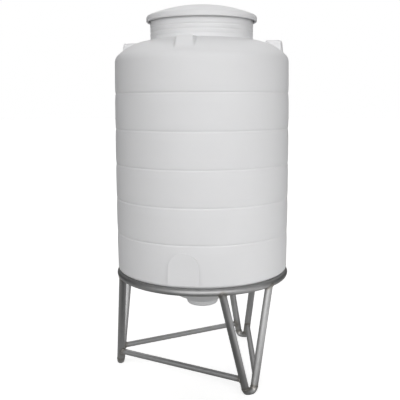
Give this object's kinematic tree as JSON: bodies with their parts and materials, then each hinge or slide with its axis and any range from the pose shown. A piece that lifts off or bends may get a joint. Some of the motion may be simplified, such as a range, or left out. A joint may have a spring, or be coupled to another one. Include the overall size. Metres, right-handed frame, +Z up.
{
  "type": "cone-bottom water tank on a tube stand",
  "caption": "Round moulded water tank with a cone bottom, ribbed wall, wide lift-off lid and lifting lugs, standing on a steel ring with three V-shaped tube legs and low braces.",
  "frame": {"origin": "on the floor, on the tank's vertical axis", "axes": "+Z up along the tank's axis; the outlet pad and one lifting lug face -Y; the other lugs face +X, +Y and -X"},
  "size_m": [1.0393, 1.0262, 2.1448],
  "materials": {
    "tank_plastic": "rotationally moulded white polyethylene, faint orange peel",
    "lid_plastic": "moulded white polyethylene",
    "socket_plastic": "moulded black polypropylene",
    "stand_steel": "satin stainless tube with weld tint at the joints"
  },
  "bodies": {
    "tank_and_stand": {"wall_front": "tank_plastic", "wall_right": "tank_plastic", "wall_back": "tank_plastic", "wall_left": "tank_plastic", "shoulder": "tank_plastic", "neck": "tank_plastic", "lug_front": "tank_plastic", "lug_right": "tank_plastic", "lug_back": "tank_plastic", "lug_left": "tank_plastic", "outlet_pad": "tank_plastic", "cone": "tank_plastic", "sump": "tank_plastic", "drain_socket": "socket_plastic", "support_ring": "stand_steel", "front_leg_tube_a": "stand_steel", "front_leg_tube_b": "stand_steel", "front_foot": "stand_steel", "left_leg_tube_a": "stand_steel", "left_leg_tube_b": "stand_steel", "left_foot": "stand_steel", "back_leg_tube_a": "stand_steel", "back_leg_tube_b": "stand_steel", "back_foot": "stand_steel", "brace_left_front": "stand_steel", "brace_back_front": "stand_steel", "brace_left_back": "stand_steel"},
    "lid": {"lid": "lid_plastic"}
  },
  "joints": [
    {"name": "lid_lift", "type": "slide", "parent": "tank_and_stand", "child": "lid", "axis": [0, 0, 1], "range_m": [0, 0.15]}
  ]
}
